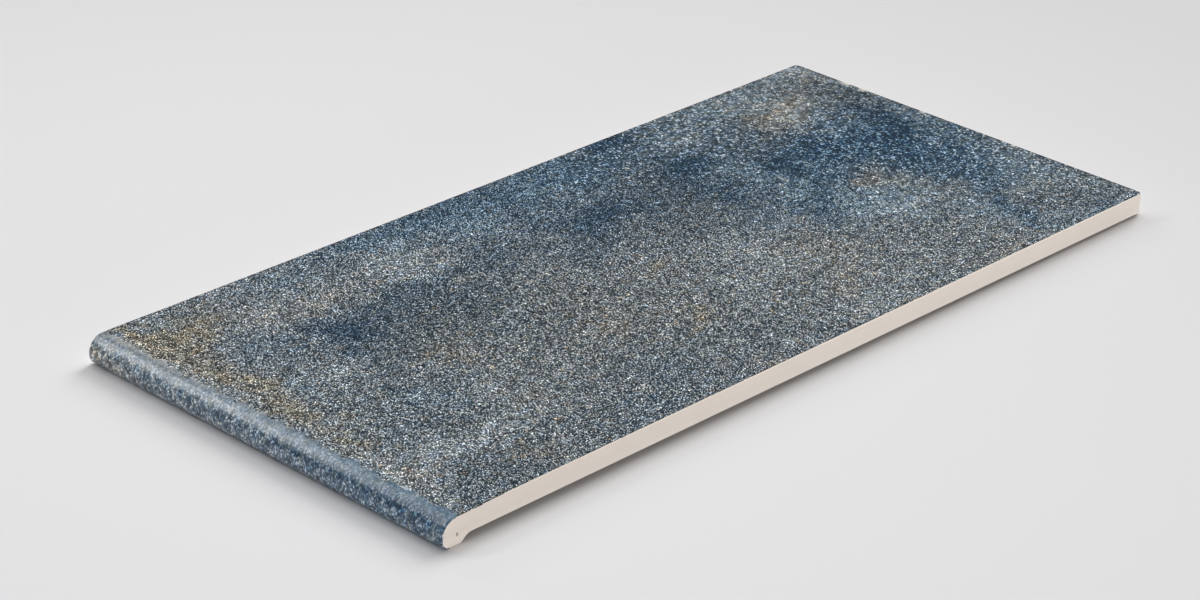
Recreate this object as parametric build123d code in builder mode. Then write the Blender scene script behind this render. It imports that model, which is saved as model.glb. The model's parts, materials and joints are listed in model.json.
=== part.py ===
from build123d import *
import os
from math import radians, tan

# Pool stair tread tile: one dry-pressed porcelain piece. A flat slab ends at the front in a bullnose
# that hangs below the slab, with a coved heel behind it, and its underside is keyed for the adhesive.
# The width is along X, the depth along Y with the nose at -Y, and Z is up with the tread level.
# The origin is at the middle of the width and of the depth, on the plane of the nose's foot.
# All lengths are in millimetres.

# Slab
tread_width = 310.0
tread_depth = 650.0  # front of the nose to the back edge
slab_thickness = 14.0

# Nose
nose_drop = 4.5  # how far the nose hangs below the slab
nose_length = 15.0  # front of the nose to the heel's corner, before that is rounded
nose_top_radius = 10.5  # the bullnose's upper round, from the tread down to the front
nose_flat = 2.0  # upright stretch of the front between its two rounds
heel_angle = 40.0  # slope of the heel, in degrees from level
heel_radius = 3.0  # round between the foot and the heel
cove_radius = 7.0  # hollow round between the heel and the underside

# Edges
corner_radius = 5.0  # the two back corners, seen from above
arris = 0.8  # bevel ground along every sharp edge

# Keying: shallow pockets pressed into the underside, with a grid of ribs left between them
key_pitch = 55.0
key_rib = 8.0
key_depth = 0.8
key_corner = 3.0  # rounded corners of a pocket
key_margin = 15.0  # least plain rim round the grid

# Places along the section, worked out from the sizes above
front = -tread_depth / 2
back = tread_depth / 2
top = slab_thickness + nose_drop
underside = nose_drop
nose_foot_radius = top - nose_top_radius - nose_flat  # the lower round takes the rest of the front
heel_foot = front + nose_length
heel_top = heel_foot + nose_drop / tan(radians(heel_angle))
cove_end = heel_top + cove_radius * tan(radians(heel_angle / 2))

# The section: each corner in order round the tile, and the radius that rounds it off
section_corners = [
    (front, top),
    (back, top),
    (back, underside),
    (heel_top, underside),
    (heel_foot, 0),
    (front, 0),
]
section_radii = [nose_top_radius, 0, 0, cove_radius, heel_radius, nose_foot_radius]

# The grid of pockets fills the underside between the rims, centred in the space
key_pocket = key_pitch - key_rib
key_space_x = tread_width - 2 * key_margin
key_space_y = back - cove_end - 2 * key_margin
key_columns = int((key_space_x + key_rib) // key_pitch)
key_rows = int((key_space_y + key_rib) // key_pitch)
key_middle_y = (cove_end + back) / 2

with BuildPart() as tread_tile:
    # Slab and nose in one section, carried across the width
    with BuildSketch(Plane.YZ) as section:
        with BuildLine():
            FilletPolyline(*section_corners, radius=section_radii, close=True)
        make_face()
    extrude(amount=tread_width / 2, both=True)

    # Back corners, rounded in plan
    fillet(tread_tile.edges().filter_by(Axis.Z).group_by(Axis.Y)[-1], corner_radius)

    # The sharp edges now make one smooth loop, along the sides, round the ends of the nose and
    # along the back above and below, so a bevel begun on the back edge runs all the way round
    chamfer(tread_tile.edges().filter_by(Axis.X).group_by(Axis.Y)[-1].sort_by(Axis.Z)[-1], arris)

    # Keying pockets, pressed up into the underside
    with BuildSketch(Plane.XY.offset(underside)) as keying:
        with Locations((0, key_middle_y)):
            with GridLocations(key_pitch, key_pitch, key_columns, key_rows):
                RectangleRounded(key_pocket, key_pocket, key_corner)
    extrude(amount=key_depth, mode=Mode.SUBTRACT)

tread_tile.part.label = "tread_tile"

os.makedirs("parts", exist_ok=True)
export_step(tread_tile.part, "parts/tread_tile.step")
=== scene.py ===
# %% [markdown]
# # A pool stair tread tile
# The tile is one piece of pressed porcelain: a flat slab whose front edge swells into a bullnose.
# Its top carries a stone-look print under a gritty, matt glaze, its nose the same print under a smooth
# glaze, and its cut sides show the bare, cream-coloured body. The CAD model gives the size and the place
# of everything, so the lesson starts by loading it and by reading its box.

# %% Load the CAD model
import json

import bpy
import numpy as np
from mathutils import Euler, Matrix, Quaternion, Vector

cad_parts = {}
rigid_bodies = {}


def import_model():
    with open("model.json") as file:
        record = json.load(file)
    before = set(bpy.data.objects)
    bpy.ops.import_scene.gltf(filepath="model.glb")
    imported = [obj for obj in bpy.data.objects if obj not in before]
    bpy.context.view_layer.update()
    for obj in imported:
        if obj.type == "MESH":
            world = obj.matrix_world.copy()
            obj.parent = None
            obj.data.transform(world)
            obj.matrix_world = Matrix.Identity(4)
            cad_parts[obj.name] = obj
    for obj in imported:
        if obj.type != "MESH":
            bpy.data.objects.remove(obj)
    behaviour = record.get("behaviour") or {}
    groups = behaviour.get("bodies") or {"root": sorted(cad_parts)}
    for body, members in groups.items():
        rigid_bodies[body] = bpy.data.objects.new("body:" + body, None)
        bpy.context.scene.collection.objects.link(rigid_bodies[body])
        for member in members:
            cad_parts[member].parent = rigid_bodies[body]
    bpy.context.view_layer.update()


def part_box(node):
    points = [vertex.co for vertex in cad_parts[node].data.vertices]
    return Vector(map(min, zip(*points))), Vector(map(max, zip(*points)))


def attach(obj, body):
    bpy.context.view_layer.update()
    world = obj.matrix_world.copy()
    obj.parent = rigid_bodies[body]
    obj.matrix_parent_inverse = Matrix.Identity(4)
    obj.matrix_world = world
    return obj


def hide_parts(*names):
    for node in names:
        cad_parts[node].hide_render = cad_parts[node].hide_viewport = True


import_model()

low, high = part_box("tread_tile")
MM = 0.001
print("tile, mm:", [round((b - a) / MM, 2) for a, b in zip(low, high)])

# %% [markdown]
# ## The section
# Seen from the side, the tile is one closed outline that doesn't change across its width. It could be a
# polygon with a bevel modifier, but then the rounds would be hard to steer. Here every run and every round
# is its own short array of points, so each can have as many points as its finish needs: many on the
# tread, which carries the grit, and few on the flat back. The sizes come first. The CAD model's box gives
# the large ones, and the rounds and the keying are written down as a tile maker would give them.

# %% Sizes of the section, in millimetres
front, back = low.y / MM, high.y / MM
half_width = high.x / MM
top = high.z / MM
bed = 4.5  # the slab's underside, above the nose's foot
nose_round, nose_flat, nose_length = 10.5, 2.0, 15.0
foot_round = top - nose_round - nose_flat
heel_slope, heel_round, cove_round = np.radians(40.0), 3.0, 7.0
arris, corner = 0.8, 5.0  # soft edge all round, and the back corners in plan
key_pitch, key_pocket, key_corner, key_depth = 55.0, 47.0, 3.0, 0.8
heel = front + nose_length
heel_foot = heel - heel_round * np.tan(heel_slope / 2)  # where the flat foot turns up into the heel
cove_end = heel + bed / np.tan(heel_slope) + cove_round * np.tan(heel_slope / 2)
print("nose foot radius", foot_round, "cove ends", round(cove_end - front, 1), "behind the front")

# %% [markdown]
# Three small helpers make the rows of points: a straight run, a round, and numbers that have to pass
# through given marks. A run and a round leave out their last point, because the next stretch of the
# outline starts there. In this way a closed outline has no point twice.

# %% Runs, rounds and rows of numbers
def run(a, b, step):
    """Straight run: evenly spaced points from a up to b, b left out, no further apart than step."""
    a, b = np.array(a, float), np.array(b, float)
    n = int(np.ceil(np.linalg.norm(b - a) / step))
    return a + (b - a) * (np.arange(n) / n)[:, None]


def arc(centre, radius, start, end, n):
    """Round: centre plus radius times (cos, sin) of n angles spread evenly from start to end degrees,
    end left out."""
    angle = np.radians(start + (end - start) * np.arange(n) / n)
    return np.array(centre, float) + radius * np.stack([np.cos(angle), np.sin(angle)], 1)


def knots(marks, step):
    """Numbers that pass through every mark, with even steps no longer than step between them."""
    marks = np.asarray(marks, float)
    parts = [np.linspace(a, b, int(np.ceil((b - a) / step)), endpoint=False)
             for a, b in zip(marks[:-1], marks[1:])]
    return np.append(np.concatenate(parts), marks[-1])


print("a quarter round of 10 in three points:", arc((0, 0), 10, 90, 180, 3).round(1).tolist())

# %% [markdown]
# The outline starts at the back's upper edge, runs along the tread to the front, round the nose, over the
# foot, along the underside and up the back to where it began. It is kept in five zones, because they differ
# in finish and in their place on the map for baking. The underside has only the points its pockets need.

# %% The closed outline
key_rows, key_columns = 11, 5
key_middle = (cove_end + back) / 2
wall_half = 0.6  # half the width of a pocket's sloping wall
wall = key_pocket / 2 + np.array([-key_corner, -wall_half, wall_half])
row_centres = key_middle + key_pitch * (np.arange(key_rows) - (key_rows - 1) / 2)
row_marks = np.sort((row_centres[:, None] + np.concatenate([-wall, wall])).ravel())
bed_y = np.concatenate([[cove_end], row_marks, [back - arris]])
cove_centre = (cove_end, bed - cove_round)
heel_deg = np.degrees(heel_slope)
fine_from = front + 24  # from here to the nose the points lie close, for the grit's ragged front
zones = {
    "tread": np.concatenate([
        run((back - arris, top), (fine_from, top), 1.75),
        run((fine_from, top), (front + nose_round, top), 0.6)]),
    "nose": np.concatenate([
        arc((front + nose_round, top - nose_round), nose_round, 90, 180, 22),
        run((front, top - nose_round), (front, foot_round), 1.0),
        arc((front + foot_round, foot_round), foot_round, 180, 270, 10)]),
    "foot": np.concatenate([
        run((front + foot_round, 0), (heel_foot, 0), 4.0),
        arc((heel_foot, heel_round), heel_round, 270, 270 + heel_deg, 4),
        arc(cove_centre, cove_round, 90 + heel_deg, 90, 6)]),
    "bed": np.stack([bed_y[:-1], np.full(len(bed_y) - 1, bed)], 1),
    "back": np.concatenate([
        arc((back - arris, bed + arris), arris, 270, 360, 3),
        run((back, bed + arris), (back, top - arris), 4.0),
        arc((back - arris, top - arris), arris, 0, 90, 3)]),
}
TREAD, NOSE, FOOT, BED, BACK = range(len(zones))
print("outline points per zone:", {name: len(points) for name, points in zones.items()})

# %% [markdown]
# The print is laid out like wallpaper that is glued over the tread and round the nose. So each point also
# gets its unrolled distance, measured along the outline from where the nose begins. Its outward
# direction, at a right angle to the outline, says which way a dent or a soft edge moves it.

# %% Unrolled distance and outward direction
outline = np.concatenate(list(zones.values()))
zone_of = np.repeat(np.arange(len(zones)), [len(points) for points in zones.values()])
length_on = np.linalg.norm(np.roll(outline, -1, 0) - outline, axis=1)
along = np.concatenate([[0], np.cumsum(length_on)[:-1]])
s_line = along[len(zones["tread"])] - along  # 0 where the nose begins, and less round the nose
tangent = np.roll(outline, -1, 0) - np.roll(outline, 1, 0)
outward = np.stack([tangent[:, 1], -tangent[:, 0]], 1) / np.linalg.norm(tangent, axis=1)[:, None]
print("the tread unrolls to", round(float(s_line.max()), 1), "mm behind the nose")

# %% [markdown]
# ## Carrying the section across the width
# The outline is set down at many places across the width and joined up. At both ends it shrinks a little
# over the last millimetre, which makes the soft edge of the cut side. Near the back corners the points
# slide forward so that the plan has its small round corners.

# %% Places across the width
column_centres = key_pitch * (np.arange(key_columns) - key_columns // 2)
column_marks = np.sort((column_centres[:, None] + np.concatenate([-wall[1:], wall[1:]])).ravel())
inner = knots(np.concatenate([[corner - half_width], column_marks, [half_width - corner]]), 1.8)
turn = np.radians([0.0, 30.0, 60.0, 90.0])
round_x = half_width - corner + corner * np.sin(np.radians([15.0, 30.0, 45.0]))
end_x = np.concatenate([round_x, half_width - arris + arris * np.sin(turn)])
end_in = np.concatenate([np.zeros(len(round_x)), arris * (1 - np.cos(turn))])
stations = np.concatenate([-end_x[::-1], inner, end_x])
shrink = np.concatenate([end_in[::-1], np.zeros(len(inner)), end_in])
over = np.clip(np.abs(stations) - (half_width - corner), 0, corner)
back_shift = corner - np.sqrt(corner ** 2 - over ** 2)
print("stations:", len(stations), "points:", len(stations) * len(outline))

# %% [markdown]
# ## Chance for whole arrays
# Grit, ragged edges and drifting inks all need a randomness that changes smoothly from place to place. A
# noise texture gives that too, but only inside a shader. A sum of waves with random headings can be
# worked out for a whole array at once, and a fixed seed makes it the same on every run.

# %% Smooth chance from waves
def ripple(u, v, size, seed, waves=20):
    """Smooth random field: a sum of cosine waves, each with a random heading and phase and a length near
    size, divided by the root of half their number so that its usual height is 1. All lengths are in mm."""
    rng = np.random.default_rng(seed)
    heading, phase = rng.uniform(0, 2 * np.pi, (2, waves))
    number = 2 * np.pi / (size * rng.uniform(0.7, 1.5, waves))
    total = np.zeros(np.broadcast(u, v).shape)
    for wave, way, shift in zip(number, heading, phase):
        total += np.cos(wave * (u * np.cos(way) + v * np.sin(way)) + shift)
    return total / np.sqrt(waves / 2)


print("usual height of a ripple:", round(float(ripple(stations, 0.0, 9, 5).std()), 2))

# %% [markdown]
# ## Grit
# The tread's glaze is full of hard grains, so that a wet foot doesn't slip. They stop in a ragged line
# where the nose begins, and from there the smooth glaze lies a little lower. A displace modifier could
# raise them, but then they would stand above the size of the tile. So the tops of the grains stay on the
# CAD surface and everything between them is a shallow dip.

# %% Grit and its ragged front
X, S = np.meshgrid(stations, s_line, indexing="ij")
grit_edge = 2.6 + 1.1 * ripple(X, 0.0, 11, 3) + 0.7 * ripple(X, 0.0, 4, 4)
on_glaze = (zone_of == TREAD) | (zone_of == NOSE)
on_grit = 1 / (1 + np.exp(-(S - grit_edge) / 0.35))
chance = np.random.default_rng(11).uniform(0, 1, X.shape)
grain_dip, swell_dip, nose_dip = 0.16, 0.04, 0.30  # between grains, in slow swells, and of the smooth nose
grains = grain_dip * chance + swell_dip * np.clip(1 + ripple(X, S, 9, 5), 0, 2)
dip = np.where(on_glaze, on_grit * grains + (1 - on_grit) * nose_dip, 0.0)
dip *= np.clip((half_width - np.abs(X)) / 4, 0, 1)  # it ends before the cut sides,
dip *= np.clip((S.max() - S) / 3, 0, 1) * np.clip((S + 24) / 8, 0, 1)  # the back edge and the nose's foot
print("mm deep: grit", round(float(grains.max()), 2), "and the smooth nose", round(float(dip.max()), 2))

# %% [markdown]
# ## Keying
# The underside has rows of shallow square pockets that the adhesive grips. A boolean could cut them, but
# it leaves long thin faces. Here the distance from each point to the rim of a rounded square is worked
# out, and a smooth step turns that distance into depth: the walls slope, as a press leaves them.

# %% Pockets of the underside
half_flat = key_pocket / 2 - key_corner
column = np.clip(np.round(X / key_pitch), -(key_columns // 2), key_columns // 2)
row = np.clip(np.round((outline[:, 0] - key_middle) / key_pitch), -(key_rows // 2), key_rows // 2)
local_x = np.abs(X - key_pitch * column) - half_flat
local_y = np.abs(outline[:, 0] - key_middle - key_pitch * row)[None, :] - half_flat
beyond = np.hypot(np.maximum(local_x, 0), np.maximum(local_y, 0))
rim = beyond + np.minimum(np.maximum(local_x, local_y), 0) - key_corner
press = np.clip((wall_half - rim) / (2 * wall_half), 0, 1)
pocket = np.where(zone_of == BED, key_depth * press * press * (3 - 2 * press), 0.0)
print("pockets:", key_rows * key_columns, "depth", round(float(pocket.max()), 2), "mm")

# %% [markdown]
# Now every point has its station, its place on the outline and its dip, and all three together give its
# place in space. Only the last stretch before the back edge slides forward for the round corners, along
# a smooth step, so that the print there isn't squeezed.

# %% Points in space
inset = shrink[:, None] + dip + pocket
Y = outline[:, 0] - outward[:, 0] * inset
Z = outline[:, 1] - outward[:, 1] * inset
slide_reach = 40
near_back = np.clip((Y - (back - slide_reach)) / slide_reach, 0, 1)
Y = Y - back_shift[:, None] * near_back * near_back * (3 - 2 * near_back)
print("Y from", round(float(Y.min()), 2), "to", round(float(Y.max()), 2), "Z up to", round(float(Z.max()), 2))

# %% [markdown]
# ## The mesh
# Neighbouring points on the grid become four-sided faces. The outline closes on itself, so the last point
# of each station joins to the first. The two cut sides are one flat face each, and they keep their sharp
# shading, while the swept skin is shaded smooth.

# %% Faces as rows of point numbers
sections, ring = X.shape  # how many sections lie across the width, and how many points are in each
i, j = np.meshgrid(np.arange(sections - 1), np.arange(ring), indexing="ij")
after = (j + 1) % ring
quads = np.stack([i * ring + j, i * ring + after, (i + 1) * ring + after, (i + 1) * ring + j], -1)
quads = quads.reshape(-1, 4)
left_end, right_end = np.arange(ring)[::-1], (sections - 1) * ring + np.arange(ring)
corners = np.concatenate([quads.ravel(), left_end, right_end])
totals = np.concatenate([np.full(len(quads), 4), [ring, ring]])
starts = np.concatenate([[0], np.cumsum(totals)[:-1]])
smooth = np.ones(len(totals), bool)
smooth[-2:] = False
print("quads:", len(quads), "triangles:", 2 * len(quads) + 2 * (ring - 2))

# %% [markdown]
# Whole arrays go into the mesh with foreach_set, which is far quicker than adding points one by one. The
# finished piece then takes the place of the plain CAD tile and stays with the part's body.

# %% The tile as an object
tile = bpy.data.meshes.new("glazed_tread")
tile.vertices.add(sections * ring)
tile.vertices.foreach_set("co", (np.stack([X, Y, Z], -1) * MM).astype(np.float32).ravel())
tile.loops.add(len(corners))
tile.loops.foreach_set("vertex_index", corners.astype(np.int32))
tile.polygons.add(len(totals))
tile.polygons.foreach_set("loop_start", starts.astype(np.int32))
tile.update(calc_edges=True)
tile.polygons.foreach_set("use_smooth", smooth)
glazed_tread = bpy.data.objects.new("glazed_tread", tile)
bpy.context.scene.collection.objects.link(glazed_tread)
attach(glazed_tread, "root")
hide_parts("tread_tile")
print("mesh is sound:", not tile.validate(verbose=True))

# %% [markdown]
# ## The print
# The stone look is printed with a few inks that drift into each other like clouds. Colours are easiest to
# choose as sRGB hex, as on a screen, but Blender's shaders count in linear light, so one function
# changes the first into the second.

# %% Inks: sRGB hex to linear light
def linear(hex_code):
    """sRGB hex to linear: each channel over 255, then the sRGB curve (a short straight part, then a power
    of 2.4)."""
    value = np.array([int(hex_code[at:at + 2], 16) for at in (1, 3, 5)]) / 255
    return np.where(value <= 0.04045, value / 12.92, ((value + 0.055) / 1.055) ** 2.4)


inks = {name: linear(code) for name, code in {
    "slate": "#6F787E", "olive": "#727778", "blue": "#496174", "navy": "#32485A", "umber": "#50585E",
    "tan": "#868580", "ochre": "#827C6C", "sky": "#788A95", "pale": "#969FA3", "lake": "#3A5F78"}.items()}
print("inks:", list(inks))

# %% [markdown]
# A noise node would put the clouds anywhere, so each drift of ink is listed one by one instead: its middle
# across the tile and along it from the nose, its reach both ways in millimetres, and its strength.
# The inks lie over each other in the order of the list. The nose has drifts of its own, long and narrow,
# because on the round the print is drawn out into bands. The light sky and pale bands on its upper round
# are partly print and partly painted highlight, laid where the lamp draws its bright band.

# %% The drifts: x across, s from the nose, reach across, reach along, strength
drifts = {
    "olive": [
        (40, 240, 90, 110, 0.75), (90, 390, 75, 90, 0.7), (70, 110, 80, 70, 0.5), (-5, 160, 40, 60, 0.4),
        (110, 490, 55, 40, 0.5), (-70, 20, 110, 30, 0.4)],
    "blue": [
        (-25, 540, 78, 100, 0.85), (-128, 350, 34, 105, 0.9), (-136, 250, 24, 55, 0.75),
        (-145, 195, 14, 45, 0.6), (-15, 580, 50, 26, 0.5), (25, 592, 40, 28, 0.5), (105, 557, 20, 9, 0.9),
        (130, 545, 26, 8, 0.75), (20, 442, 24, 32, 0.6), (150, 598, 10, 26, 0.4), (60, 582, 28, 24, 0.5),
        (-125, 125, 12, 20, 0.5), (115, 215, 26, 18, 0.3), (135, 172, 18, 20, 0.25),
        (-75, 62, 24, 12, 0.35), (0, 190, 14, 24, 0.25), (55, 80, 16, 16, 0.25), (60, 50, 16, 16, 0.25)],
    "navy": [
        (-105, 470, 30, 34, 0.35), (-66, 352, 26, 50, 0.9), (-58, 318, 38, 16, 0.7),
        (-85, 447, 20, 16, 0.85), (-70, 425, 26, 24, 0.7), (-35, 430, 18, 22, 0.7),
        (-148, 430, 10, 24, 0.95), (-52, 612, 34, 16, 0.85), (-12, 590, 14, 14, 0.9),
        (-40, 600, 26, 14, 0.6), (-35, 495, 30, 14, 0.85), (-40, 535, 30, 14, 0.65),
        (12, 478, 26, 10, 0.7), (20, 455, 20, 12, 0.4), (-15, 568, 40, 14, 0.35), (20, 562, 30, 16, 0.4),
        (75, 570, 16, 12, 0.45), (100, 562, 14, 8, 0.6), (-85, 300, 10, 8, 0.5), (-150, 280, 8, 50, 0.5),
        (-72, 180, 18, 34, 0.7), (-45, 195, 18, 14, 0.55), (-55, 150, 20, 30, 0.4),
        (-52, 112, 24, 22, 0.9), (-60, 95, 26, 10, 0.5), (-70, 255, 20, 22, 0.55),
        (-40, 290, 16, 14, 0.45), (-60, 230, 20, 30, 0.35), (25, 82, 13, 9, 0.5), (-10, 100, 14, 10, 0.3),
        (38, 108, 14, 10, 0.3)],
    "umber": [
        (-100, 622, 38, 20, 0.8), (-125, 590, 26, 30, 0.35), (-105, 540, 10, 12, 0.6),
        (-84, 530, 13, 12, 0.75), (-70, 515, 14, 12, 0.4), (-75, 495, 24, 12, 0.45),
        (-85, 412, 20, 18, 0.5), (-20, 395, 26, 24, 0.7), (-12, 365, 16, 22, 0.5),
        (-50, 400, 24, 20, 0.4), (-25, 140, 22, 34, 0.5), (-35, 160, 16, 20, 0.4),
        (-30, 182, 16, 20, 0.4), (-65, 275, 14, 12, 0.4), (5, 520, 9, 10, 0.5), (115, 580, 14, 16, 0.5),
        (120, 600, 20, 16, 0.3), (10, 230, 60, 24, 0.3), (-30, 215, 26, 20, 0.3), (100, 190, 12, 12, 0.3),
        (95, 290, 18, 8, 0.25), (130, 285, 20, 9, 0.4), (75, 86, 10, 14, 0.4), (0, 130, 14, 20, 0.3),
        (138, 60, 18, 30, 0.35), (135, 30, 20, 20, 0.4), (-150, 48, 8, 20, 0.4), (-105, 20, 20, 14, 0.35),
        (-60, 35, 20, 10, 0.3), (40, 345, 8, 8, 0.3)],
    "tan": [
        (-105, 572, 24, 30, 0.9), (-90, 550, 14, 14, 0.5), (20, 530, 24, 16, 0.6), (60, 543, 26, 9, 0.4),
        (15, 512, 14, 10, 0.4), (60, 420, 34, 22, 0.45), (100, 398, 14, 9, 0.6), (45, 393, 12, 9, 0.5),
        (112, 378, 10, 9, 0.5), (148, 505, 10, 40, 0.5), (-102, 125, 18, 40, 0.6),
        (-103, 225, 12, 20, 0.5), (-105, 85, 20, 16, 0.4), (-58, 215, 7, 8, 0.5), (50, 232, 6, 26, 0.6),
        (20, 240, 40, 16, 0.2), (85, 135, 12, 12, 0.45), (115, 190, 7, 12, 0.4), (65, 190, 14, 9, 0.35),
        (12, 135, 16, 14, 0.4), (152, 262, 7, 18, 0.7), (152, 220, 5, 12, 0.4), (-140, 537, 9, 9, 0.6),
        (-130, 620, 10, 8, 0.6), (102, 12, 9, 12, 0.9), (150, 358, 8, 10, 0.5), (-105, 5, 50, 5, 0.7),
        (0, 6, 60, 4, 0.3), (105, 5, 50, 5, 0.5)],
    "ochre": [
        (-118, 35, 20, 26, 0.85), (-123, 58, 8, 14, 0.6), (-130, 8, 30, 9, 0.8), (-60, 20, 50, 12, 0.7),
        (-45, 28, 12, 8, 0.4), (5, 20, 30, 12, 0.6), (52, 16, 14, 8, 0.5), (-108, 556, 10, 10, 0.5),
        (80, 280, 11, 12, 0.6), (16, 315, 9, 12, 0.45), (118, 376, 10, 8, 0.5), (130, 90, 14, 9, 0.35),
        (80, 132, 10, 10, 0.3), (15, 130, 8, 10, 0.3), (5, 520, 7, 8, 0.4)],
    "sky": [
        (47, 502, 18, 26, 0.85), (45, 475, 11, 14, 0.5), (58, 495, 9, 13, 0.4), (-45, 468, 34, 9, 0.55),
        (-5, 468, 16, 8, 0.6), (90, 540, 13, 10, 0.6), (115, 535, 14, 6, 0.4), (150, 570, 9, 24, 0.7),
        (-120, 345, 20, 20, 0.4), (-115, 275, 20, 22, 0.45), (-130, 215, 16, 18, 0.4),
        (-125, 130, 14, 20, 0.4), (20, 492, 14, 8, 0.5), (70, 612, 22, 16, 0.45), (42, 82, 10, 14, 0.5),
        (-15, 40, 8, 10, 0.55), (-130, 475, 10, 10, 0.35), (-138, 560, 14, 26, 0.45),
        (-135, 520, 12, 12, 0.4), (20, 430, 12, 20, 0.3)],
    "pale": [
        (58, 505, 9, 20, 0.5), (28, 372, 20, 16, 0.5), (60, 380, 24, 22, 0.35), (140, 368, 16, 18, 0.45),
        (-98, 190, 16, 24, 0.5), (-112, 205, 10, 14, 0.4), (98, 80, 10, 56, 0.5), (98, 45, 10, 20, 0.4),
        (-17, 62, 7, 18, 0.55), (100, 592, 10, 10, 0.5), (125, 420, 30, 40, 0.2),
        (-146, 622, 12, 18, 0.55), (-95, 562, 10, 14, 0.4), (58, 118, 24, 18, 0.3),
        (-152, 150, 5, 8, 0.5), (-150, 84, 9, 9, 0.5), (-152, 35, 5, 10, 0.5), (150, 305, 9, 8, 0.5),
        (-104, 86, 18, 14, 0.3), (75, 335, 30, 12, 0.3), (-115, 478, 12, 16, 0.45), (-60, 4, 24, 5, 0.4),
        (75, 155, 10, 8, 0.3), (105, 4, 46, 5, 0.7), (-100, 4, 40, 4, 0.3)],
}
nose_drifts = {
    "blue": [
        (0, -12, 160, 30, 0.3), (135, -10, 30, 14, 0.3)],
    "lake": [
        (110, -8, 100, 30, 0.7), (0, -11, 110, 5, 0.35), (-80, -12, 80, 4, 0.35)],
    "navy": [
        (80, -12, 90, 3.5, 0.25), (-20, -12, 80, 3, 0.25), (140, -9, 16, 8, 0.3), (-100, -17, 60, 5, 0.3),
        (20, -17, 80, 5, 0.15)],
    "umber": [
        (-105, 0, 55, 3, 0.45)],
    "ochre": [
        (-150, -14, 9, 7, 0.8), (-132, -18, 14, 5, 0.5), (-105, 2, 45, 2.6, 0.65)],
    # The upper sky and pale bands, from 2 to 8 mm round the nose, are partly print and partly painted
    # highlight.
    "sky": [
        (-80, -8, 100, 4.5, 0.8), (20, -4.2, 80, 3.2, 0.75), (100, -2, 70, 4, 0.1)],
    "pale": [
        (-100, -8, 60, 3, 0.65), (0, -4, 60, 3, 0.35), (0, 0, 60, 4, 0.1)],
}
for area, inks_there in (("tread", drifts), ("nose", nose_drifts)):
    print("drifts on the", area + ":", sum(len(places) for places in inks_there.values()))

# %% [markdown]
# Laying the inks is a mix for each ink in turn: the colour moves towards the ink by the ink's share at
# that point. Waves bend the places first, so that no drift looks like an ellipse.

# %% Lay the inks
def ink_share(x, s, places):
    """How much of an ink lies at each point: one minus the product, over its drifts, of one minus strength
    times a bell curve of the distance measured in reaches."""
    mid_x, mid_s, reach_x, reach_s, strength = np.array(places, float).T
    squared = ((x[:, None] - mid_x) / reach_x) ** 2 + ((s[:, None] - mid_s) / reach_s) ** 2
    return 1 - np.prod(1 - strength * np.exp(-squared), axis=1)


def laid_inks(x, s, ink_drifts, cover):
    """Colour after all inks: it starts as slate, and each ink in turn moves it towards the ink's colour, by
    cover times the ink's share of the way."""
    colour = np.tile(inks["slate"], (len(x), 1))
    for name, places in ink_drifts.items():
        colour += (ink_share(x, s, places) * cover)[:, None] * (inks[name] - colour)
    return colour


glaze_x, glaze_s = X[:, on_glaze].ravel(), S[:, on_glaze].ravel()
bent_x = glaze_x + 4 * ripple(glaze_x, glaze_s, 60, 21) + 3 * ripple(glaze_x, glaze_s, 22, 22)
bent_s = glaze_s + 4 * ripple(glaze_x, glaze_s, 60, 23) + 3 * ripple(glaze_x, glaze_s, 22, 24)
mixed = laid_inks(bent_x, bent_s, drifts, 0.98)
mixed *= (1 + 0.09 * np.exp(-(glaze_s / 75) ** 2))[:, None]  # the print is a little lighter towards the nose
print("mean ink of the tread, linear:", mixed[glaze_s > 0].mean(0).round(3))

# %% [markdown]
# The nose's inks are laid in the same way, without the bending, because their bands run straight along the
# round. Below the round the print is greyer, and it is also made paler: painted light on the lower front,
# which the lamps reach less. The two prints meet at the grit's ragged front.

# %% The nose's print
nose_mix = laid_inks(glaze_x, glaze_s, nose_drifts, 1.0)
under = np.clip((-6 - glaze_s) / 6, 0, 1)[:, None]  # 0 on the upper round, 1 below it
nose_grey = nose_mix.mean(1, keepdims=True)
# Paler below the round is painted light on the lower front, which the lamps light less; the greying is print.
nose_mix = (1.06 + 0.4 * under) * (nose_mix + 0.25 * under * (nose_grey - nose_mix))
on_nose = np.clip((grit_edge[:, on_glaze].ravel() - glaze_s) / 1.5, 0, 1)
mixed += on_nose[:, None] * (nose_mix - mixed)
print("mean ink of the nose, linear:", mixed[glaze_s < 0].mean(0).round(3))

# %% [markdown]
# A real print is never even. Patches of a few millimetres are lighter or darker, warmer or cooler, and at
# the back left and low on the nose the ink gathers in clumps. Along the edges the print runs thin, and a
# dark line shows there.

# %% Mottle, clumps and the thin edge
away = -0.68 * glaze_x + 0.73 * (glaze_s - 325)  # towards the back left, where the flecks are largest
wide_share = np.clip((away - 20) / 240, 0, 1)
clump = on_nose * np.clip((-7 - glaze_s) / 3, 0, 1) + 0.6 * wide_share
mottle = 1 + 0.08 * ripple(glaze_x, glaze_s, 14, 31) + (0.08 + 0.14 * clump) * ripple(glaze_x, glaze_s, 7, 32)
mottle += 0.16 * clump * ripple(glaze_x, 0.6 * glaze_s, 4, 35)
mottle = np.clip(mottle, 0.6, 1.5)[:, None]
warmer = np.array([1.0, 0.1, -1.0])  # more red and less blue
warm_cool = (0.035 * ripple(glaze_x, glaze_s, 12, 33) + 0.03 * ripple(glaze_x, glaze_s, 6, 34))[:, None]
mixed = mixed * mottle * (1 + warm_cool * warmer)
grey = mixed.mean(1, keepdims=True)
mixed += on_nose[:, None] * (1 - 1 / mottle) * (grey - mixed)  # the nose's lighter clumps are whiter
edge_gap = np.minimum(half_width - arris - np.abs(glaze_x), glaze_s.max() - glaze_s)
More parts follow.
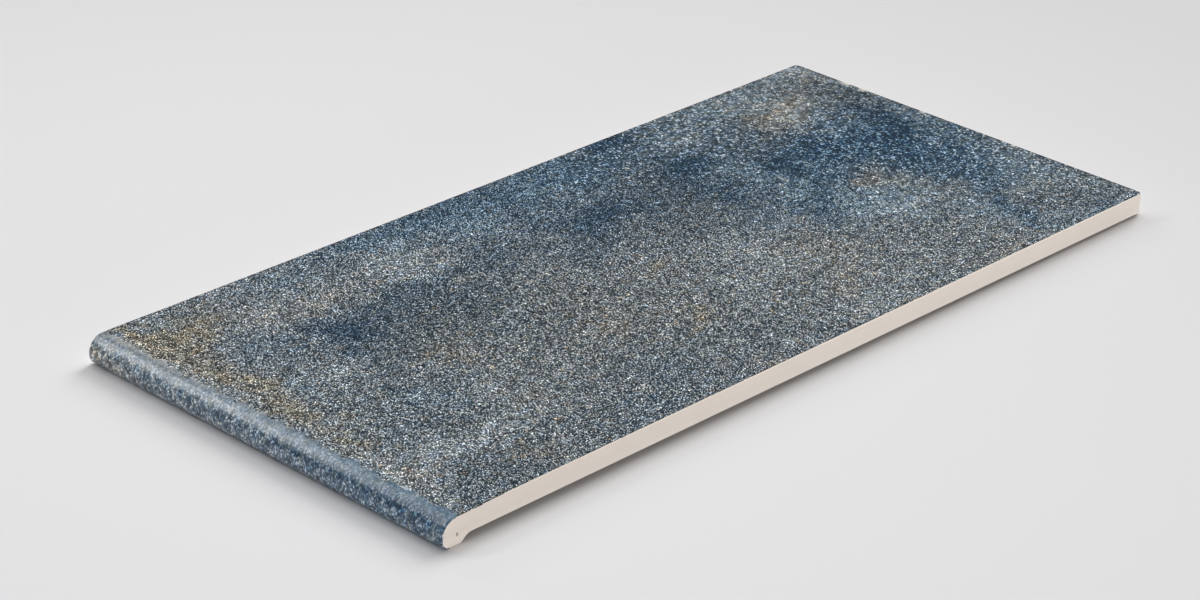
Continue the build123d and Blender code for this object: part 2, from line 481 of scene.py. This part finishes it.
thin_edge = 0.45 * np.exp(-np.maximum(edge_gap, 0) ** 2) * (1 - on_nose)
mixed += thin_edge[:, None] * (inks["umber"] * 0.5 - mixed)
print("mottle from", mottle.min().round(2), "to", mottle.max().round(2))

# %% [markdown]
# ## Flecks
# Over the clouds lie fine flecks, about half a millimetre wide, most of them dark and a few bright. The
# shader makes them, and here are their settings for the tread and the nose. Flecks change the average
# colour, so the ground under them has to be chosen in such a way that ground and flecks together look as
# wanted. To find it, a few thousand flecks are drawn by chance, much as the shader draws them.

# %% Settings of the flecks, and a sample of them
TREAD_FLECKS = dict(
    fleck_mm=0.52, wide_mm=1.3,  # width of a fleck, and of the larger ones towards the back left
    rarity=4.5,  # the higher, the fewer of them are bright
    stretch=1.0,  # below 1 they are drawn out along the section
    contrast=0.78, lift=-0.271,  # how far their tone swings, and what brings its average back to none
    flake=0.3, whiten=0.0,  # strength of the pale flakes, and how much brighter flecks turn white
    darkest=(0.14, 0.19, 0.235))  # display value that no fleck goes below
NOSE_FLECKS = dict(
    fleck_mm=0.8, wide_mm=None, rarity=2.2, stretch=0.6, contrast=0.6, lift=-0.306,
    flake=0.05, whiten=0.065, darkest=(0.09, 0.16, 0.23))
chances = np.random.default_rng(51).uniform(1e-6, 1, (4, 3000))
from_middle = 0.41 * np.sqrt(-np.log(chances[1]) / np.pi)  # share of the tone lost away from a fleck's middle
fine_noise = 0.11 * np.sqrt(2) * (2 * chances[2] - 1)
cell_rest = 0.3 - from_middle + fine_noise
print("sample of", chances.shape[1], "flecks")

# %% [markdown]
# The search for the ground is a table read backwards: many grounds are tried, each with all the sample's
# flecks on it, and the one whose average fits the wanted look is read off between two tries. Where the
# flecks' strength changes from place to place, the answer is read off between a few cases of strength.

# %% The ground that gives the wanted look
def ground_under(look, gain, rarity, contrast, lift, flake, darkest, **others):
    """Display value to print under the flecks: the one for which ground plus flecks, held above the darkest
    ink and averaged in linear light, gives the wanted look."""
    flecks = contrast * (1.25 * chances[0] ** rarity + cell_rest) + lift + flake * (chances[3] > 0.93)
    trial = np.linspace(-0.6, 1, 81)
    tried = trial[:, None] + gain * flecks
    shown = [np.mean(np.maximum(tried, dark) ** 2.2, axis=1) ** (1 / 2.2) for dark in darkest]
    return np.stack([np.interp(look[:, c], shown[c], trial) for c in range(3)], 1)


def ground_for(look, gain, flecks):
    """Ground for flecks whose strength changes from point to point: read off between cases that are a fifth
    apart in strength."""
    cases = np.array([ground_under(look, strength, **flecks) for strength in np.arange(1, 9) / 5])
    at = np.clip(gain * 5 - 1, 0, 6.999)
    case, share, point = at.astype(int), (at % 1)[:, None], np.arange(len(look))
    return cases[case, point] + share * (cases[case + 1, point] - cases[case, point])


middle_grey = np.full((1, 3), 0.5)
print("ground for a middle grey:", ground_under(middle_grey, 1.0, **TREAD_FLECKS).round(3).tolist())

# %% [markdown]
# The flecks aren't equally strong everywhere. Towards the back left they are larger but softer, and on the
# nose they almost drown in the bright band and come back below it. With their strength known, the ground
# of the whole print can be read off, once with the tread's flecks and once with the nose's.

# %% Strength of the flecks
fleck_gain = 1.12 - 0.66 * wide_share
fleck_gain *= 1 - on_nose * (0.65 - 0.38 * np.clip((-6 - glaze_s) / 5, 0, 1))  # weakest on the bright band
mean_look = np.clip(1.085 * mixed, 0, 1) ** (1 / 2.2)  # lighter, because rough grains shade each other
felt_gain = 0.6 * fleck_gain + 0.35  # strengths drawn together, tuned so that the average comes out right
ground_look = ground_for(mean_look, felt_gain, TREAD_FLECKS)
ground_look += on_nose[:, None] * (ground_for(mean_look, felt_gain, NOSE_FLECKS) - ground_look)
print("mean look:", mean_look.mean(0).round(3), "mean ground:", ground_look.mean(0).round(3))

# %% [markdown]
# Handling has chipped the back edge in a few places, where pale body shows through the print. A chip is a
# share of pale colour with a flat top: full in its middle, and gone soon after its rim.

# %% Chips along the back edge
chips = [(-107, 5.0, 4.0), (-90.5, 3.4, 4.0), (-35, 2.6, 3.0), (45, 2.4, 2.4)]  # x, half length, depth
chipped = np.max([np.exp(-((glaze_x - x) / reach) ** 4 - ((glaze_s.max() - glaze_s) / depth) ** 4)
                  for x, reach, depth in chips], axis=0)
ground_look += chipped[:, None] * (np.array([0.76, 0.75, 0.72]) - ground_look)
fleck_gain *= 1 - 0.8 * chipped
fleck_gain /= np.hypot(wide_share, 1 - wide_share)  # two mixed layers of flecks are weaker than one
print("chips:", len(chips))

# %% [markdown]
# The shader can read all this as attributes, which are numbers stored with each point of the mesh. The
# unrolled place is one of them. It is kept in millimetres, so that a pattern's scale can be too.

# %% Store the print on the mesh
def store(name, kind, field, on_the_glaze, elsewhere):
    """Point attribute: the given values on the glaze, in the grid's order, and one value everywhere else."""
    values = np.tile(np.array(elsewhere, float), (sections, ring, 1))
    values[:, on_glaze] = on_the_glaze.reshape(sections, -1, len(elsewhere))
    tile.attributes.new(name, kind, "POINT").data.foreach_set(field, values.astype(np.float32).ravel())


store("ground", "FLOAT_COLOR", "color", np.column_stack([ground_look, np.ones(len(glaze_x))]), (0, 0, 0, 1))
store("fleck_gain", "FLOAT", "value", fleck_gain, (1,))
store("wide_share", "FLOAT", "value", wide_share, (0,))
unrolled = np.stack([X, S, np.zeros_like(X)], -1).astype(np.float32)
tile.attributes.new("unrolled", "FLOAT_VECTOR", "POINT").data.foreach_set("vector", unrolled.ravel())
print("attributes:", [a.name for a in tile.attributes if not a.is_internal])

# %% [markdown]
# ## A map for baking
# Baking puts each finish into one square picture. The tread and nose deserve most of it, so they get
# one wide chart, unrolled like wallpaper, and the plain sides and underside share a strip beside it.

# %% UV charts
LEFT_SIDE, RIGHT_SIDE = len(zones), len(zones) + 1
at_station = np.concatenate([
    np.stack([i, i, i + 1, i + 1], -1).ravel(), np.zeros(ring, int), np.full(ring, sections - 1)])
at_point = np.concatenate([np.stack([j, after, after, j], -1).ravel(), left_end, np.arange(ring)])
wraps, stays = j == ring - 1, np.zeros_like(j, bool)  # the strip that closes the outline
last = np.concatenate([np.stack([stays, wraps, wraps, stays], -1).ravel(), np.zeros(2 * ring, bool)])
face_zone = np.concatenate([
    np.repeat(zone_of[j.ravel()], 4), np.full(ring, LEFT_SIDE), np.full(ring, RIGHT_SIDE)])
across = (stations[at_station] + half_width) / (2 * half_width)
s_top, s_low = s_line.max(), s_line[zone_of == NOSE].min()
glaze_v = (np.where(last, s_top, s_line[at_point]) - s_low + 2) / (s_top - s_low + 4)
depth_v = (outline[at_point, 0] - front) / (back - front)
rise = outline[at_point, 1] / top
# From left to right: the glaze, the foot with the underside, the back and the two cut sides.
u = np.select(
    [face_zone <= NOSE, face_zone <= BED, face_zone == BACK, face_zone == LEFT_SIDE],
    [0.004 + 0.776 * across, 0.79 + 0.115 * across, 0.915 + 0.02 * rise, 0.945 + 0.022 * rise],
    0.973 + 0.022 * rise)
v = np.select([face_zone <= NOSE, face_zone == BACK], [glaze_v, 0.01 + 0.98 * across], 0.005 + 0.99 * depth_v)
chart = np.stack([u, np.clip(v, 0, 1)], -1).astype(np.float32)
tile.uv_layers.new(name="OFBake").data.foreach_set("uv", chart.ravel())
print("charts span u", round(float(u.min()), 3), "to", round(float(u.max()), 3))

# %% [markdown]
# ## Finishes
# A node tree is easier to read when every node is one line, so one small function adds a node, sets it and
# links it. All patterns are in millimetres, because the mesh carries its unrolled place in millimetres.

# %% One function for nodes
def add(tree, kind, inputs, **settings):
    """Adds a node of that kind, sets its properties, and gives each input a value or the output it is
    linked to."""
    node = tree.nodes.new("ShaderNode" + kind)
    for key, value in settings.items():
        setattr(node, key, value)
    for key, value in inputs.items():
        if isinstance(value, bpy.types.NodeSocket):
            tree.links.new(value, node.inputs[key])
        else:
            node.inputs[key].default_value = value
    return node


def new_material(name):
    """An empty material with an output node, ready for one shader."""
    material = bpy.data.materials.new(name)
    material.use_nodes = True
    material.node_tree.nodes.clear()
    return material, material.node_tree, material.node_tree.nodes.new("ShaderNodeOutputMaterial")


print("materials that came with the CAD model:", len(bpy.data.materials))

# %% [markdown]
# The grains of the print look like crushed stone: small patches with a tone of their own and uneven rims.
# A plain noise is too cloudy for that. A Voronoi texture gives patches, and when its place is bent by a
# slow noise the patches lose their straight sides. A finer noise breaks them up.

# %% One layer of grains
def grain_tone(tree, place, grain_mm, rarity):
    """Tone of one layer of grains: each is a cell about grain_mm wide whose tone is 1.25 times its chance to
    the power of rarity, less 0.45 of the distance from its middle, plus a fine noise, less 0.2. The place is
    bent beforehand by a slow noise. Returns the tone, the bent place and the cell's chances."""
    bend = add(tree, "TexNoise", {"Vector": place, "Scale": 0.33 / grain_mm, "Detail": 1.0},
               noise_dimensions="2D").outputs["Color"]
    bend = add(tree, "VectorMath", {0: bend, 1: (0.5, 0.5, 0.5)}, operation="SUBTRACT").outputs[0]
    bend = add(tree, "VectorMath", {0: bend, "Scale": 1.1 * grain_mm}, operation="SCALE").outputs[0]
    bent = add(tree, "VectorMath", {0: place, 1: bend}, operation="ADD").outputs[0]
    grain = add(tree, "TexVoronoi", {"Vector": bent, "Scale": 1 / grain_mm, "Randomness": 1.0},
                voronoi_dimensions="2D")
    cell = add(tree, "SeparateColor", {0: grain.outputs["Color"]}).outputs
    fine = add(tree, "TexNoise", {"Vector": bent, "Scale": 0.9 / grain_mm, "Detail": 3.0, "Roughness": 0.6},
               noise_dimensions="2D").outputs[0]
    tone = add(tree, "Math", {0: cell[0], 1: rarity}, operation="POWER").outputs[0]
    gap = add(tree, "Math", {0: grain.outputs["Distance"], 1: -0.45, 2: -0.2},
              operation="MULTIPLY_ADD").outputs[0]
    tone = add(tree, "Math", {0: tone, 1: 1.25, 2: gap}, operation="MULTIPLY_ADD").outputs[0]
    return add(tree, "Math", {0: fine, 1: tone}, operation="ADD").outputs[0], bent, cell


print("grains on a square centimetre of the tread:", round((10 / TREAD_FLECKS["fleck_mm"]) ** 2))

# %% [markdown]
# Here and there a larger flake lies among the grains: a pale one, or a rusty one. They come from a coarser
# Voronoi texture with a round spot in each cell, of which only the cells with a high chance keep theirs.

# %% Flakes
SMALL_FLAKE_MM, LARGE_FLAKE_MM = 1.7, 3.2  # width of a flake's cell


def flakes(tree, place, gain, cell_mm, full):
    """One round spot to a cell about cell_mm wide: 1 up to the share full of the cell from its middle, fading
    to 0 at 0.42 of it, times the gain. Returns the spots and the cell's chances."""
    cell = add(tree, "TexVoronoi", {"Vector": place, "Scale": 1 / cell_mm, "Randomness": 1.0},
               voronoi_dimensions="2D")
    spot = add(tree, "MapRange", {"Value": cell.outputs["Distance"], "From Min": 0.42, "From Max": full},
               interpolation_type="SMOOTHSTEP").outputs[0]
    spot = add(tree, "Math", {0: spot, 1: gain}, operation="MULTIPLY").outputs[0]
    return spot, add(tree, "SeparateColor", {0: cell.outputs["Color"]}).outputs


def seldom(tree, spot, cell_chance, none, all_of_it):
    """Few of the spots: each times a ramp of its cell's chance, from 0 at none to 1 at all_of_it."""
    ramp = add(tree, "MapRange", {"Value": cell_chance, "From Min": none, "From Max": all_of_it}).outputs[0]
    return add(tree, "Math", {0: spot, 1: ramp}, operation="MULTIPLY").outputs[0]


print("flakes in cells of", SMALL_FLAKE_MM, "and", LARGE_FLAKE_MM, "mm")

# %% [markdown]
# The print itself is the ground from the mesh with the grains and flakes added to it. They are added as
# display values, the way an eye counts steps of brightness, so light and dark flecks step evenly from the
# ground. At the end a power of 2.2 turns the result into linear light for the shader. Both glazes share
# this function, because it is one print that runs from the tread over the nose.

# %% The flecked print
def flecked_print(tree, fleck_mm, wide_mm, rarity, stretch, contrast, lift, flake, whiten, darkest):
    """Colour and tone of the print. The tone is gain times (contrast times the grains plus lift), where the
    grains are mixed with a wider layer by wide_share, plus small and large pale flakes, less a little on
    rusty ones. The colour is the ground plus the tone, warmer on rusty flakes, never below darkest."""
    place = add(tree, "Attribute", {}, attribute_name="unrolled").outputs["Vector"]
    ground = add(tree, "Attribute", {}, attribute_name="ground").outputs["Color"]
    gain = add(tree, "Attribute", {}, attribute_name="fleck_gain").outputs["Fac"]
    place = add(tree, "VectorMath", {0: place, 1: (1.0, stretch, 1.0)}, operation="MULTIPLY").outputs[0]
    tone, bent, cell = grain_tone(tree, place, fleck_mm, rarity)
    if wide_mm:
        wide_tone = grain_tone(tree, place, wide_mm, rarity)[0]
        share = add(tree, "Attribute", {}, attribute_name="wide_share").outputs["Fac"]
        tone = add(tree, "Mix", {"Factor": share, 2: tone, 3: wide_tone}, data_type="FLOAT").outputs[0]
    tone = add(tree, "Math", {0: tone, 1: contrast, 2: lift}, operation="MULTIPLY_ADD").outputs[0]
    tone = add(tree, "Math", {0: tone, 1: gain}, operation="MULTIPLY").outputs[0]

    spot, luck = flakes(tree, bent, gain, SMALL_FLAKE_MM, 0.22)
    small = seldom(tree, spot, luck[0], 0.8, 0.9)
    spot, luck = flakes(tree, bent, gain, LARGE_FLAKE_MM, 0.26)
    large = seldom(tree, spot, luck[1], 0.94, 0.98)
    rust = seldom(tree, spot, luck[0], 0.93, 0.98)
    for strength, step in ((small, flake), (large, 0.8 * flake), (rust, -0.06)):
        tone = add(tree, "Math", {0: strength, 1: step, 2: tone}, operation="MULTIPLY_ADD").outputs[0]

    warm = add(tree, "Math", {0: cell[1], 1: 0.024, 2: -0.012 - 0.1 * whiten},
               operation="MULTIPLY_ADD").outputs[0]
    for strength, step in ((rust, 0.1), (tone, whiten)):
        warm = add(tree, "Math", {0: strength, 1: step, 2: warm}, operation="MULTIPLY_ADD").outputs[0]
    hue = add(tree, "VectorMath", {0: warmer.tolist(), "Scale": warm}, operation="SCALE").outputs[0]
    shown = add(tree, "VectorMath", {0: ground, 1: hue}, operation="ADD").outputs[0]
    shown = add(tree, "VectorMath", {0: shown, 1: tone}, operation="ADD").outputs[0]
    shown = add(tree, "VectorMath", {0: shown, 1: darkest}, operation="MAXIMUM").outputs[0]
    return add(tree, "Gamma", {"Color": shown, "Gamma": 2.2}).outputs[0], tone


print("settings of the print:", list(TREAD_FLECKS))

# %% [markdown]
# The tread's glaze is loaded with fine hard grains, so it is matt: it scatters light and shows almost no
# reflection. The nose is bare of grains and its glaze flows smooth, so a lamp draws a soft bright band
# along it. On both, the tone also raises a little bump, because a printed grain is a real grain too.

# %% Gritty glaze and smooth glaze
# Matt and gritty: every grain catches the light by itself, and the whole looks dry.
gritty, tree, out = new_material("matt_gritty_glaze")
colour, tone = flecked_print(tree, **TREAD_FLECKS)
bump = add(tree, "Bump", {"Height": tone, "Strength": 0.6, "Distance": 0.6 * MM}).outputs[0]
shader = add(tree, "BsdfPrincipled", {
    "Base Color": colour, "Roughness": 0.8, "IOR": 1.5, "Specular IOR Level": 0.05, "Normal": bump})
tree.links.new(shader.outputs[0], out.inputs[0])

# Smooth and glassy: the print looks deeper, under a soft band of light.
smooth_glaze, tree, out = new_material("smooth_nose_glaze")
colour, tone = flecked_print(tree, **NOSE_FLECKS)
bump = add(tree, "Bump", {"Height": tone, "Strength": 0.15, "Distance": 0.3 * MM}).outputs[0]
shader = add(tree, "BsdfPrincipled", {"Base Color": colour, "Roughness": 0.28, "IOR": 1.65, "Normal": bump})
tree.links.new(shader.outputs[0], out.inputs[0])
print("glazes:", gritty.name, smooth_glaze.name)

# %% [markdown]
# Where the tile is cut, the body shows: dense, cream-coloured porcelain, dry to the eye, with hardly
# visible specks and, on the near end, one small pit left by a burnt-out grain. Along the lower edge and
# towards the back the cream is painted paler, as painted light on the cut side. A photo of porcelain could
# be used, but two noises of different size give the clouds and the specks just as well.

# %% Bare porcelain body
# Dry and even: a soft cream that takes the shade of whatever stands near it.
body, tree, out = new_material("bare_porcelain_body")
place = add(tree, "TexCoord", {}).outputs["Object"]
cloud = add(tree, "TexNoise", {"Vector": place, "Scale": 1 / (18 * MM), "Detail": 4.0}).outputs[0]
speck = add(tree, "TexNoise", {"Vector": place, "Scale": 1 / (1.2 * MM), "Detail": 2.0}).outputs[0]
shade = add(tree, "Math", {0: cloud, 1: 0.6, 2: 0.2}, operation="MULTIPLY_ADD").outputs[0]
shade = add(tree, "Math", {0: speck, 1: 0.25, 2: shade}, operation="MULTIPLY_ADD").outputs[0]
# The third cream is painted light for the cut side.
dark_cream, light_cream, painted_light_cream, painted_pit_shade = (
    (*linear(code), 1) for code in ("#E2D6CA", "#EDE3DA", "#FAF0E6", "#6E665E"))
cream = add(tree, "Mix", {"Factor": shade, 6: dark_cream, 7: light_cream}, data_type="RGBA").outputs[2]

along_axes = add(tree, "SeparateXYZ", {0: place}).outputs
# Painted light: paler cream along the lower edge and towards the back stands for light the cut side catches
# there.
lower_edge = add(tree, "MapRange", {
    "Value": along_axes["Z"], "From Min": bed * MM, "From Max": (bed + 4) * MM, "To Min": 0.6, "To Max": 0.0})
to_the_back = add(tree, "MapRange", {
    "Value": along_axes["Y"], "From Min": -0.2, "From Max": 0.1, "To Max": 0.3})
painted_light_share = add(tree, "Math", {0: lower_edge.outputs[0], 1: to_the_back.outputs[0]}, operation="ADD").outputs[0]
cream = add(tree, "Mix", {"Factor": painted_light_share, 6: cream, 7: painted_light_cream}, data_type="RGBA").outputs[2]
print("creams mixed with", len(tree.nodes), "nodes")

# %% [markdown]
# The pit is too small to be worth any faces, so its hollow is painted shade: a dark spot at its own place.
# The distance from that place, a little drawn out upwards, fades from dark to nothing in about a millimetre.
# The shader then gets the finished colour, and the specks raise a hardly visible bump.

# %% The pit, and the body's shader
# Painted shade: the pit's hollow is a dark spot in the colour, not a dent.
pit_place = (half_width * MM, (front + 11.6) * MM, 7.0 * MM)
pit = add(tree, "VectorMath", {0: place, 1: pit_place}, operation="SUBTRACT").outputs[0]
pit = add(tree, "VectorMath", {0: pit, 1: (1.0, 1.0, 0.6)}, operation="MULTIPLY").outputs[0]
pit = add(tree, "VectorMath", {0: pit}, operation="LENGTH").outputs["Value"]
pit = add(tree, "MapRange", {
    "Value": pit, "From Min": 0.4 * MM, "From Max": 1.0 * MM, "To Min": 0.85, "To Max": 0.0},
    interpolation_type="SMOOTHSTEP").outputs[0]
cream = add(tree, "Mix", {"Factor": pit, 6: cream, 7: painted_pit_shade}, data_type="RGBA").outputs[2]

bump = add(tree, "Bump", {"Height": speck, "Strength": 0.1, "Distance": 0.15 * MM}).outputs[0]
shader = add(tree, "BsdfPrincipled", {
    "Base Color": cream, "Roughness": 0.6, "IOR": 1.5, "Specular IOR Level": 0.3, "Normal": bump})
tree.links.new(shader.outputs[0], out.inputs[0])
print("body:", body.name, "with", len(tree.nodes), "nodes")

# %% [markdown]
# One mesh carries all three finishes, and each face says which one it takes. The grit stops at its ragged
# front. Along the sides the glaze ends at the soft edge, but round the nose it runs over that edge, as
# glaze does where it is poured over a round.

# %% Which face takes which finish
for material in (gritty, smooth_glaze, body):
    tile.materials.append(material)
GRITTY, SMOOTH, BARE = range(3)
face_s = (S[:-1, :] + S[1:, :]) / 2
face_edge = (grit_edge[:-1, :] + grit_edge[1:, :]) / 2
strip_in = np.maximum(shrink[:-1, None], shrink[1:, None]) / arris  # how far round the edge a strip ends
glaze_over = np.where(zone_of == NOSE, 1.01, np.clip(1 - s_line / 45, 0, 1))  # and how far the glaze does
bare = strip_in > np.maximum(glaze_over, 0.001)
finish = np.where((zone_of <= NOSE) & ~bare, np.where(face_s > face_edge, GRITTY, SMOOTH), BARE)
finish = np.concatenate([finish.ravel(), [BARE, BARE]])
tile.polygons.foreach_set("material_index", finish.astype(np.int32))
tile.update()
print("faces per finish:", np.bincount(finish))

# %% [markdown]
# ## Floor
# The tile lies unheld: its nose hangs below the slab, so it rests on the heel of the nose, and the floor is
# tipped by less than half a degree to come up to that heel and nearly to the back edge. The floor is pale
# studio paper.
# A real sweep of paper gets darker away from the lamps, which two soft falloffs of its colour stand for.

# %% Studio floor
back_gap = 1.5  # a fired tile is never quite flat, so its back edge stands a little clear
slope = (bed - back_gap) / (back - arris - heel_foot)
floor_half, floor_lines = 4, 9  # metres, and grid lines each way
ticks = np.linspace(-floor_half, floor_half, floor_lines)
floor_x, floor_y = np.meshgrid(ticks, ticks, indexing="ij")
floor_z = (floor_y / MM - heel_foot) * slope * MM
order = np.arange(floor_lines ** 2).reshape(floor_lines, floor_lines)
floor_faces = np.stack([order[:-1, :-1], order[1:, :-1], order[1:, 1:], order[:-1, 1:]], -1).reshape(-1, 4)
floor_mesh = bpy.data.meshes.new("studio_floor")
floor_points = np.stack([floor_x, floor_y, floor_z], -1).reshape(-1, 3)
floor_mesh.from_pydata(floor_points.tolist(), [], floor_faces.tolist())
floor = bpy.data.objects.new("studio_floor", floor_mesh)
bpy.context.scene.collection.objects.link(floor)
print("floor tips by", round(float(np.degrees(np.arctan(slope))), 2), "degrees")

# %% [markdown]
# The paper is plain and matt, so it only needs a diffuse shader. One falloff runs towards the back left,
# the other grows with the square of the distance from the tile and stops at about a tenth, so that the
# floor stays pale from every side.

# %% Studio paper
# Matt paper: no gloss at all, so the tile's shadow is the only thing to see on it.
paper, tree, out = new_material("pale_studio_paper")
place = add(tree, "TexCoord", {}).outputs["Object"]
near_tone, far_tone = ((*linear(code), 1) for code in ("#E9E9EA", "#DCDBDB"))
back_left = add(tree, "VectorMath", {0: place, 1: (-0.7, 0.7, 0.0)}, operation="DOT_PRODUCT").outputs["Value"]
falloff = add(tree, "MapRange", {"Value": back_left, "From Min": -0.4, "From Max": 0.6}).outputs[0]
shade = add(tree, "Mix", {"Factor": falloff, 6: near_tone, 7: far_tone}, data_type="RGBA").outputs[2]
far = add(tree, "VectorMath", {0: place, 1: (-0.05, -0.12, 0.0)}, operation="DISTANCE").outputs["Value"]
far = add(tree, "Math", {0: far, 1: 2.0}, operation="POWER").outputs[0]
far = add(tree, "Math", {0: far, 1: 0.2}, operation="MULTIPLY").outputs[0]
far = add(tree, "Math", {0: far, 1: 0.11}, operation="MINIMUM").outputs[0]
shade = add(tree, "Mix", {"Factor": far, 6: shade, 7: (0.0, 0.0, 0.0, 1.0)}, data_type="RGBA").outputs[2]
shader = add(tree, "BsdfDiffuse", {"Color": shade})
tree.links.new(shader.outputs[0], out.inputs[0])
floor_mesh.materials.append(paper)
print("paper:", paper.name)

# %% [markdown]
# ## Light
# A studio's white walls throw a little light from everywhere. A picture of a room could stand for them, but
# the tile is too matt to mirror it clearly, so a plain white sky does as well. It also lights the shadows.

# %% Sky
world = bpy.data.worlds.new("studio")
world.use_nodes = True
sky = world.node_tree.nodes["Background"]
sky.inputs["Color"].default_value = (*linear("#FFFFFF"), 1)
sky.inputs["Strength"].default_value = 0.235
bpy.context.scene.world = world
print("sky's share of the light:", round(sky.inputs["Strength"].default_value, 3))

# %% [markdown]
# A large box behind draws the shadows forward, one above fills the tread, and a strip to the left gives the
# nose its bright band. Low cards lift the cut side and the nose. Lamp powers in watts say little about
# brightness, so each lamp is given as a share of plain light on the floor, and its power is worked out from
# that.

# %% Softboxes
def softbox(name, place, size, share, colour="#FFFFFF", roll=0.0):
    """Area lamp aimed at the tile. Its power follows from the share of plain light that it adds on a level
    floor: radiance is share times pi over (solid angle times the sine of its height), and power is radiance
    times pi times area."""
    place = Vector(place)
    lamp = bpy.data.lights.new(name, "AREA")
    lamp.shape, lamp.size, lamp.size_y = "RECTANGLE", size[0], size[1]
    area = size[0] * size[1]
    solid = area / place.length_squared
    lamp.energy = share * np.pi / (solid * place.normalized().z) * np.pi * area
    lamp.color = linear(colour)
    box = bpy.data.objects.new(name, lamp)
    box.location = place
    aim = (-place).to_track_quat("-Z", "Y") @ Quaternion((0, 0, 1), np.radians(roll))
    box.rotation_euler = aim.to_euler()
    bpy.context.scene.collection.objects.link(box)


softbox("back_box", (-2.0, 8.4, 6.3), (5.7, 5.7), 0.40)
softbox("top_box", (-2.7, 2.0, 6.7), (4.0, 4.0), 0.235)
softbox("left_strip", (-3.25, -1.35, 2.95), (3.1, 0.6), 0.135, "#FDFCFF", roll=-34)
softbox("left_low", (-4.0, 1.2, 1.9), (2.4, 0.9), 0.055)
softbox("right_card", (3.4, 0.1, 0.24), (2.4, 0.48), 0.023)
softbox("front_card", (0.3, -3.4, 0.24), (2.4, 0.48), 0.007)

# %% [markdown]
# ## Camera
# The photographer stood to the right of the nose with a long lens and looked down at about 26 degrees. A
# long lens from further away keeps the tile's long edges almost parallel. Its place and turn were fitted
# to the tile's corners, so they are given as numbers and not as a target to look at.

# %% Camera and view
camera = bpy.data.objects.new("camera", bpy.data.cameras.new("camera"))
camera.data.lens, camera.data.sensor_width = 102.06, 36.0
camera.location = (1.3269, -1.4446, 0.9473)
camera.rotation_euler = Euler(np.radians([63.974, -1.4867, 44.0988]))
bpy.context.scene.collection.objects.link(camera)
bpy.context.scene.camera = camera
bpy.context.scene.view_settings.view_transform = "Standard"
print("camera stands", round(camera.location.length, 2), "m away")
